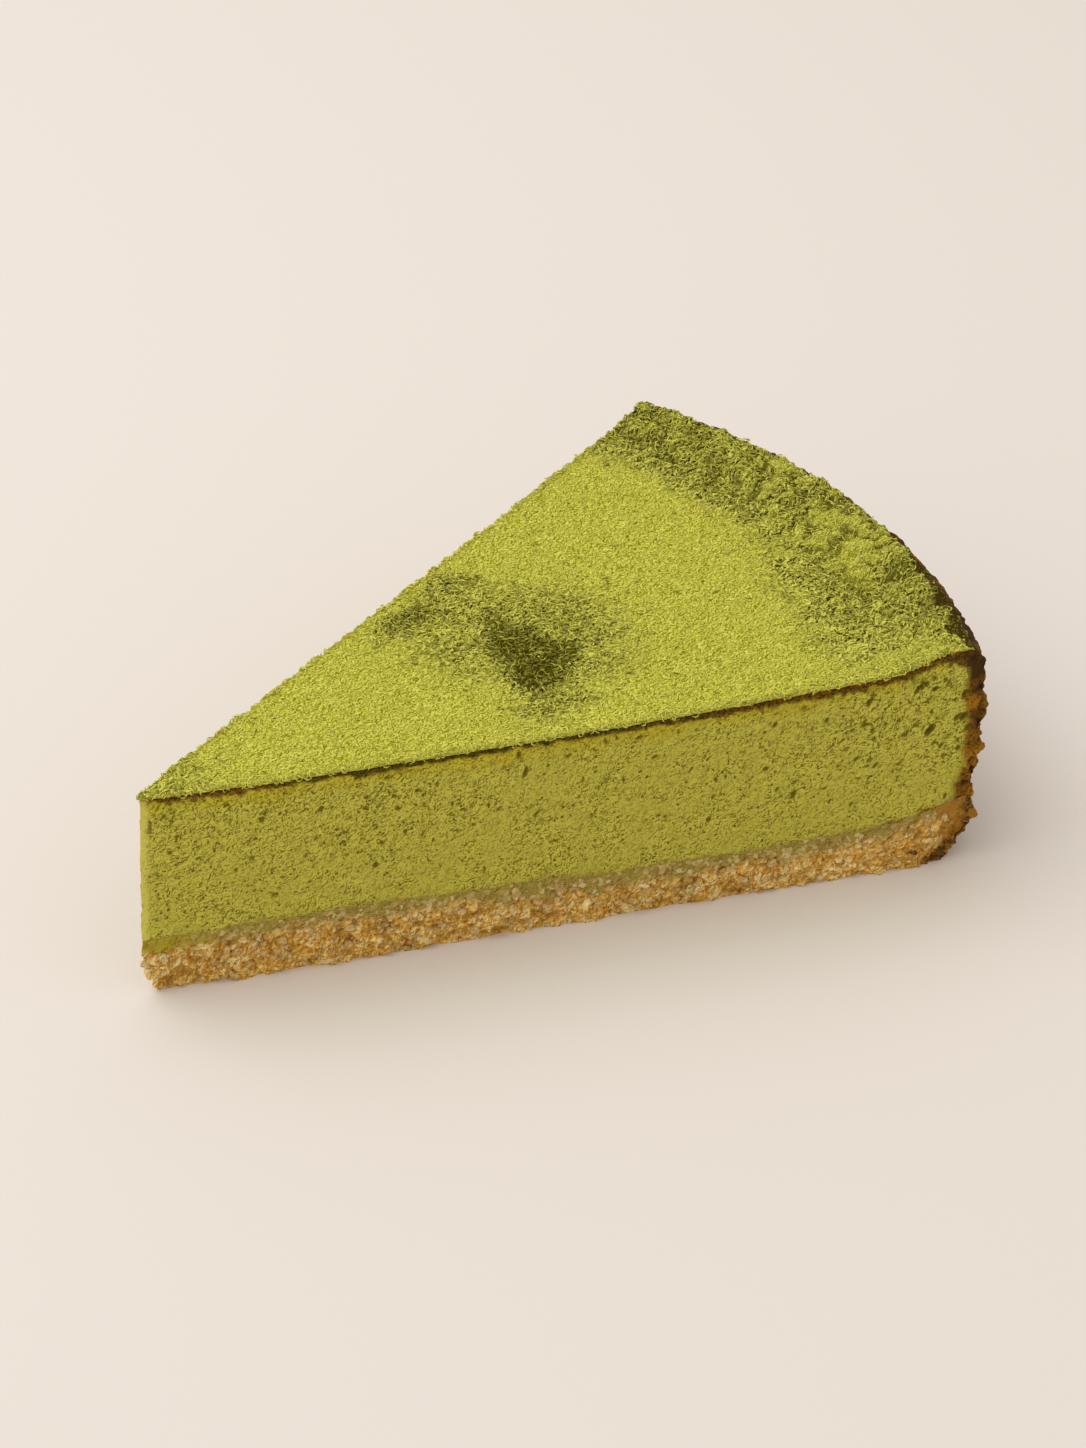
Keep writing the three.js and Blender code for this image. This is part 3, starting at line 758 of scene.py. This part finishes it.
def make_crumbs(base):
    """Pale and golden crumbs that stand out of the cuts through the base."""
    draw = np.random.default_rng(SEED + 44)

    def weigh(places, normals):
        on_cut = 1 - ramp(np.minimum(*depths(places)), 0.8, 1.6)
        depth = below_top(places, BASE_PATCH)
        low = 0.03 + ramp(depth, 1.5, 3.0)
        return on_cut * low * ramp(places[:, 2], 0.3, 0.8) * ramp(behind_wall(places), 3, 6)

    middles, normals = pick(base, LOOSE_CRUMBS, weigh, draw)
    sizes = chance_sizes(draw, LOOSE_CRUMBS, *CRUMB_SIZES)
    bpy.ops.mesh.primitive_ico_sphere_add(subdivisions=1, radius=0.5)
    ball = bpy.context.active_object
    shape = np.array([corner.co[:] for corner in ball.data.vertices])
    faces = [list(face.vertices) for face in ball.data.polygons]
    bpy.data.objects.remove(ball)
    aims, sides = lying(normals, draw)
    ups = np.cross(aims, sides)
    axes = np.stack([CRUMB_LENGTH * aims, sides, CRUMB_HEIGHT * ups])
    points = np.einsum("pk,kni->npi", shape, axes)
    bumpy = lumps((points + 7 * middles[:, None, :]).reshape(-1, 3), CRUMB_BUMP, 60)
    points *= (1 + CRUMB_UNEVENNESS * bumpy.reshape(len(middles), -1))[:, :, None]
    points = points * sizes[:, None, None] + middles[:, None, :]
    points[:, :, 2] = np.maximum(points[:, :, 2], 0)
    return joined("loose_crumbs", points, faces, draw.random(LOOSE_CRUMBS))


# ---- Materials ----

COLOURS = {"data_type": "RGBA"}
SOFT_STEP = {"interpolation_type": "SMOOTHSTEP"}
PLUS = {"operation": "ADD"}
MINUS = {"operation": "SUBTRACT"}
TIMES = {"operation": "MULTIPLY"}
HIGHER = {"operation": "MAXIMUM"}


def colour(hex_code):
    """An sRGB hex colour as the linear numbers that shaders take."""
    parts = [int(hex_code[i : i + 2], 16) / 255 for i in (1, 3, 5)]
    linear = [p / 12.92 if p <= 0.04045 else ((p + 0.055) / 1.055) ** 2.4 for p in parts]
    return (*linear, 1.0)


def add_node(tree, kind, *inputs, named=None, output=None, **settings):
    """Adds one node with its settings, and gives its first output or the one that is named.

    The inputs are links, numbers or hex colours: in the node's own order, or by name.
    """
    node = tree.nodes.new("ShaderNode" + kind)
    for name, value in settings.items():
        setattr(node, name, value)
    in_order = [socket for socket in node.inputs if socket.enabled]
    pairs = list(zip(in_order, inputs))
    pairs += [(node.inputs[name], value) for name, value in (named or {}).items()]
    for socket, value in pairs:
        if isinstance(value, bpy.types.NodeSocket):
            tree.links.new(value, socket)
        else:
            socket.default_value = colour(value) if isinstance(value, str) else value
    if output:
        return node.outputs[output]
    return next((socket for socket in node.outputs if socket.enabled), None)


def new_material(name):
    """An empty material, and the function that adds nodes to it."""
    material = bpy.data.materials.new(name)
    material.use_nodes = True
    material.node_tree.nodes.clear()
    return material, functools.partial(add_node, material.node_tree)


def coated(add, tint, *coats):
    """The tint under coats of colour, laid one over another.

    Each coat says how well it covers and its colour. How well is a shade from 0 to 1, or a
    shade with the two ends of a soft step.
    """
    for cover, top in coats:
        if isinstance(cover, tuple):
            cover = add("MapRange", *cover, **SOFT_STEP)
        tint = add("Mix", cover, tint, top, **COLOURS)
    return tint


def noted(add, *names):
    """What the mesh work kept for each point of the mesh, under each of the names."""
    return [add("Attribute", attribute_name=name, output="Fac") for name in names]


def object_places(add):
    """Where each point is on the object, in millimetres."""
    where = add("TexCoord", output="Object")
    return add("Mapping", named={"Vector": where, "Scale": (1 / MM,) * 3})


def spots(add, size, detail=2.0):
    """Random shades from 0 to 1, in patches of about the given size in millimetres."""
    named = {"Vector": object_places(add), "Scale": 1 / size, "Detail": detail}
    return add("TexNoise", named=named)


CELL_BEND = 0.6  # size in mm of the shades that bend the cells


def cells(add, size, output):
    """Uneven cells of about the given size in millimetres."""
    bent = add("VectorMath", object_places(add), spots(add, CELL_BEND), **PLUS)
    return add("TexVoronoi", named={"Vector": bent, "Scale": 1 / size}, output=output)


HOLE_PATCH = 1.7  # size in mm of the patches that have holes or have none


def pinholes(add, spacing, radius):
    """Small round holes of up to the given radius: 1 in a hole and 0 between them."""
    grown = add("MapRange", spots(add, HOLE_PATCH, 0), 0.42, 0.62, **SOFT_STEP)
    edge = add("Math", grown, radius / spacing, **TIMES)
    inside = add("MapRange", cells(add, spacing, "Distance"), edge, 0.0)
    return add("MapRange", inside, 0.1, 0.5, **SOFT_STEP)


def curls(add, size, curl, shift):
    """Shades from 0 in the hollows to 1 on the threads, or on lumps where curl is small."""
    shifted = add("VectorMath", object_places(add), shift, **PLUS)
    named = {"Vector": shifted, "Scale": 1 / size, "Detail": 1.0, "Distortion": curl}
    return add("TexNoise", named=named)


TOWARDS_WINDOW = (-0.3, 0.75, 0.6)  # lower than the window, so that the cuts show it too
LOOK_AHEAD = 0.22  # how far on the next height is read, as a share of the thread's size


def sunlit(add, size, sharpness, curl=1.2):
    """The threads of a felt, and how far each spot of it faces the window: 0.5 if level.

    Colours mixed by the second are painted light and shade.
    """
    step = tuple(LOOK_AHEAD * size * part for part in TOWARDS_WINDOW)
    here = curls(add, size, curl, (0, 0, 0))
    ahead = curls(add, size, curl, step)
    facing = add("Math", here, ahead, **MINUS)
    return here, add("MapRange", facing, -1 / sharpness, 1 / sharpness, **SOFT_STEP)


def finish(add, surface, height=None, depth=0.0, strength=1.0):
    """Gives the material its surface, with bumps of the given depth in millimetres."""
    if height is not None:
        named = {"Height": height, "Distance": depth * MM, "Strength": strength}
        surface = surface | {"Normal": add("Bump", named=named)}
    add("OutputMaterial", add("BsdfPrincipled", named=surface))


# Sizes in mm. The real grains of tea, about 0.01 mm, are too fine to show.
FELT_THREAD = 0.55
SHAG_THREAD = 0.95  # where the powder lies loose in the dark patches
DIMPLE_SPACING = 1.1
DIMPLE_RADIUS = 0.22
CRUST_SPECKLE = 0.3  # where the powder gives out


def matcha_powder():
    """Sifted tea powder: dull, dry and felted, bright where it lies thick.

    It has no gloss at all, so only its threads and dimples tell the eye how it lies.
    Their sides towards the window are painted light and the rest painted shade, and
    painted shade darkens the dimples and the creases between the rim's clots.
    """
    material, add = new_material("matcha powder")
    dark, cleft_shade, bare = noted(add, "dark", "cleft_shade", "bare")
    felt, felt_lit = sunlit(add, FELT_THREAD, 6.5)
    shag, shag_lit = sunlit(add, SHAG_THREAD, 6.5)
    rough = add("MapRange", dark, 0.05, 0.3, **SOFT_STEP)
    lit = add("Mix", rough, felt_lit, shag_lit)
    dimples = pinholes(add, DIMPLE_SPACING, DIMPLE_RADIUS)
    # The powder in painted shade, and in painted light where the felt faces the window.
    powder_in_shade = coated(add, "#84810a", ((dark, 0.0, 0.35), "#373200"))
    powder_in_light = coated(add, "#dad85f", ((dark, 0.35, 1.0), "#655e05"))
    crust = coated(add, "#201502", (spots(add, CRUST_SPECKLE), "#5a4a1a"))
    tint = coated(
        add,
        powder_in_shade,
        (lit, powder_in_light),
        # Painted shade in the dimples.
        (add("Math", dimples, 0.7, **TIMES), "#5d560f"),
        # Painted shade in the creases between the rim's clots.
        ((cleft_shade, 0.1, 0.9), "#463f07"),
        (bare, crust),
    )
    surface = {"Base Color": tint, "Roughness": 0.95, "Specular IOR Level": 0.02}
    raised = add("Math", add("Mix", rough, felt, shag), dimples, **MINUS)
    finish(add, surface, raised, depth=0.25)
    return material


def matcha_threads():
    """Single threads and grains of tea powder, each with a shade of its own."""
    material, add = new_material("matcha threads")
    [tone] = noted(add, "tone")
    tint = coated(add, "#453f00", (tone, "#dfdc62"))
    finish(add, {"Base Color": tint, "Roughness": 0.95, "Specular IOR Level": 0.02})
    return material


def pale_grain():
    """Undissolved grains on the powder: cream-coloured and a little shiny."""
    material, add = new_material("pale grains")
    [tone] = noted(add, "tone")
    tint = coated(add, "#d8cf72", (tone, "#f0e8a8"))
    finish(add, {"Base Color": tint, "Roughness": 0.5, "Specular IOR Level": 0.4})
    return material


# Sizes in mm
CURD = 0.58
KNIFE_DRAG = 1.3
CALM_PATCH = 4
GREEN_PATCH = 7
SKIN_SPECKLE = 0.35
HOLE_KINDS = ((1.0, 0.27), (0.75, 0.19))  # spacing and radius
TORN_HOLES = (1.8, 0.62)


def custard_light(add, torn):
    """The fine curd and the wider drags of the knife, and the light and shade painted on both.

    The painted light is calm in patches, but not where the knife tore the custard.
    """
    curd, curd_lit = sunlit(add, CURD, 5.0)
    drags, drags_lit = sunlit(add, KNIFE_DRAG, 5.0)
    lit = add("Mix", 0.25, curd_lit, drags_lit)
    lit = add("MapRange", lit, 0.0, 0.75, **SOFT_STEP)
    patches = add("MapRange", spots(add, CALM_PATCH, 1), 0.35, 0.65, **SOFT_STEP)
    calm = add("Mix", patches, 0.45, 0.0)
    calm = add("Math", calm, add("Math", 1.0, torn, **MINUS), **TIMES)
    return add("Math", curd, drags, **PLUS), add("Mix", calm, lit, 0.78)


def custard_holes(add, torn):
    """Fine holes all over the cut, and wider ones where the knife tore it."""
    holes = add("Math", *(pinholes(add, *kind) for kind in HOLE_KINDS), **HIGHER)
    wide_holes = add("Math", pinholes(add, *TORN_HOLES), torn, **TIMES)
    return add("Math", holes, wide_holes, **HIGHER)


def baked_filling():
    """Baked custard: moist, satin and a little translucent, browned where it met the pan.

    The light goes a little way into the green, and the browned crust is dry and dull.
    Light and shade are painted into the green, painted shade darkens its pores and the
    hollows of the crust, and a painted glow runs along the tip's edge.
    """
    material, add = new_material("baked matcha filling")
    pit, wall, crag_tone_and_shade, torn, seam = noted(add, "pit", "wall", "crag_tone_and_shade", "torn", "seam")
    skin, brown, ripe, painted_tip_glow = noted(add, "skin", "brown", "ripe", "painted_tip_glow")
    curd, lit = custard_light(add, torn)
    holes = custard_holes(add, torn)
    fine = spots(add, SKIN_SPECKLE, 3)
    # The custard's green in painted shade, brightened by painted light where the curd faces the
    # window.
    custard = coated(
        add,
        "#6b6300",
        (spots(add, GREEN_PATCH), "#726a02"),
        (lit, "#cbc44e"),
        (add("Math", ripe, 0.8, **TIMES), coated(add, "#7d6f02", (lit, "#c8b826"))),
        # Painted shade in the pores and the pinholes.
        ((pit, 0.1, 0.5), "#7c710d"),
        ((pit, 0.4, 1.0), "#554a05"),
        (holes, "#6e6307"),
        (seam, coated(add, "#6f5f0a", (lit, "#b3a04a"))),
    )
    browned_skin = coated(add, "#5d5408", (brown, "#7d560c"))
    # The crust: painted shade between the crags, lighter on their tops.
    crust = coated(add, "#432a06", (crag_tone_and_shade, "#b57e16"))
    tint = coated(
        add,
        custard,
        (skin, coated(add, "#3b2c06", ((fine, 0.35, 0.65), browned_skin))),
        (wall, coated(add, "#3f2905", ((fine, 0.3, 0.55), crust))),
        # A painted glow along the tip's edge.
        (add("Math", painted_tip_glow, 0.8, **TIMES), "#d9d060"),
    )
    browned = add("Math", skin, wall, **HIGHER)
    surface = {
        "Base Color": tint,
        "Roughness": add("Mix", browned, 0.5, 0.8),
        "Specular IOR Level": 0.13,
        "Subsurface Weight": 0.15,
        "Subsurface Radius": (1.0, 0.85, 0.2),
        "Subsurface Scale": 0.3 * MM,
    }
    finish(add, surface, add("Math", curd, holes, **MINUS), depth=0.15)
    return material


# Sizes in mm
CLOD = 1.7
GRIT = 0.6
CRUMB = 1.1
FLECK = 0.6
STAIN_PATCH = 3


def biscuit_crumbs():
    """Pressed biscuit crumbs: golden and matt, soaked at the top and burnt at the wall.

    Their sunlit sides are painted pale, with a painted highlight on the brightest, and painted
    shade darkens the gaps between them, which makes them look dry.
    """
    material, add = new_material("pressed biscuit crumbs")
    tone, groove_shade, soaked, stained = noted(add, "tone", "groove_shade", "soaked", "stained")
    moist_tip, toasted, burnt = noted(add, "moist_tip", "toasted", "burnt")
    clods, clods_lit = sunlit(add, CLOD, 4.0, curl=0.5)
    grit, grit_lit = sunlit(add, GRIT, 5.0, curl=0.7)
    lit = add("Mix", 0.55, clods_lit, grit_lit)
    crumb_tone = cells(add, CRUMB, "Color")
    golden = coated(
        add,
        "#e2ac47",
        ((tone, 0.2, 0.8), "#f0c962"),
        ((crumb_tone, 0.5, 0.75), "#efd693"),
    )
    # Dry crumbs in painted shade, painted light and a painted highlight.
    dry = coated(
        add,
        "#b3842f",
        ((lit, 0.2, 0.6), golden),
        ((lit, 0.62, 0.9), "#f8ecbc"),
        # Painted shade in the grooves.
        (add("Math", groove_shade, 0.65, **TIMES), "#a97a28"),
    )
    green = add("MapRange", spots(add, STAIN_PATCH), 0.45, 0.7, **SOFT_STEP)
    green = add("Math", stained, green, **TIMES)
    # Soaked crumbs in painted shade and painted light.
    wet = coated(
        add,
        "#745d16",
        (lit, "#c5ad5a"),
        ((cells(add, FLECK, "Color"), 0.6, 0.85), "#d6c084"),
        (add("Math", green, 0.6, **TIMES), "#8c8526"),
        (add("Math", moist_tip, 0.85, **TIMES), coated(add, "#8d7a10", (lit, "#bfae2a"))),
    )
    # Burnt crumbs with painted light on their grit.
    char = coated(add, "#2c1a05", (grit_lit, "#855c18"), ((crumb_tone, 0.5, 0.8), "#a87420"))
    tint = coated(
        add,
        dry,
        (soaked, wet),
        (add("Math", toasted, 0.85, **TIMES), "#a8731a"),
        (burnt, char),
    )
    surface = {
        "Base Color": tint,
        "Roughness": 0.6,
        "Specular IOR Level": 0.15,
        "Subsurface Weight": 0.25,
        "Subsurface Radius": (1.0, 0.6, 0.2),
        "Subsurface Scale": 0.5 * MM,
    }
    finish(add, surface, add("Math", clods, grit, **PLUS), depth=0.3, strength=0.9)
    return material


CRUMB_GRAIN = 0.5  # on a single crumb, in mm


def loose_crumb():
    """Single crumbs, from golden to pale, drier than what they lie on, with painted light and
    shade on their grit.
    """
    material, add = new_material("loose biscuit crumbs")
    [tone] = noted(add, "tone")
    grit, lit = sunlit(add, CRUMB_GRAIN, 4.0, curl=0.2)
    golden = coated(add, "#cf9f4a", (tone, "#efdba0"))
    # The crumb's grit in painted shade and painted light.
    tint = coated(add, "#a87a2e", (lit, golden))
    surface = {"Base Color": tint, "Roughness": 0.7, "Specular IOR Level": 0.15}
    finish(add, surface, grit, depth=0.2, strength=0.8)
    return material


def floor_material():
    """A plain matt cream surface."""
    material, add = new_material("cream floor")
    finish(add, {"Base Color": "#e8e1da", "Roughness": 0.9, "Specular IOR Level": 0.1})
    return material


# ---- Stage, lights and camera ----


def make_floor():
    bpy.ops.mesh.primitive_plane_add(size=FLOOR_SIZE)
    floor = bpy.context.active_object
    floor.name = "floor"
    floor.data.materials.append(floor_material())


def add_light(name, power, tint, size, away, heading, up):
    """One large soft light that faces the middle of the slice."""
    data = bpy.data.lights.new(name, "AREA")
    data.size = size * MM
    data.energy = power
    data.color = colour(tint)[:3]
    light = bpy.data.objects.new(name, data)
    bpy.context.collection.objects.link(light)
    heading, up = math.radians(heading), math.radians(up)
    flat = away * math.cos(up)
    place = Vector((flat * math.cos(heading), flat * math.sin(heading), away * math.sin(up)))
    light.location = place * MM
    light.rotation_euler = (-place).to_track_quat("-Z", "Y").to_euler()


def light_scene():
    world = bpy.data.worlds.new("studio")
    world.use_nodes = True
    background = world.node_tree.nodes["Background"]
    background.inputs["Color"].default_value = colour(SKY_TINT)
    background.inputs["Strength"].default_value = SKY
    bpy.context.scene.world = world
    for settings in LIGHTS:
        add_light(*settings)
    bpy.context.scene.view_settings.view_transform = "Standard"
    bpy.context.scene.view_settings.look = "None"


def place_camera():
    data = bpy.data.cameras.new("camera")
    data.sensor_fit = "VERTICAL"
    data.sensor_height = SENSOR_HEIGHT
    data.lens = LENS
    camera = bpy.data.objects.new("camera", data)
    bpy.context.collection.objects.link(camera)
    camera.location = Vector((np.array(CAMERA_FROM_TIP) + TIP) * MM)
    camera.rotation_euler = (math.pi / 2 - CAMERA_DOWN, 0, CAMERA_HEADING - math.pi / 2)
    bpy.context.scene.camera = camera


# ---- Everything in its place ----


def dress(piece, material, replaced=None):
    piece.data.materials.append(material)
    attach(piece, "root")
    if replaced:
        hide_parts(replaced)


place_camera()
light_scene()
make_floor()
powder = make_powder()
base = make_base()
threads_material = matcha_threads()
dress(make_filling(), baked_filling(), "filling")
dress(powder, matcha_powder(), "matcha_dusting")
dress(base, biscuit_crumbs(), "crumb_base")
dress(make_pale_threads(powder), threads_material)
dress(make_dull_threads(powder), threads_material)
dress(make_dust(powder), threads_material)
dress(make_pale_specks(powder), pale_grain())
dress(make_crumbs(base), loose_crumb())
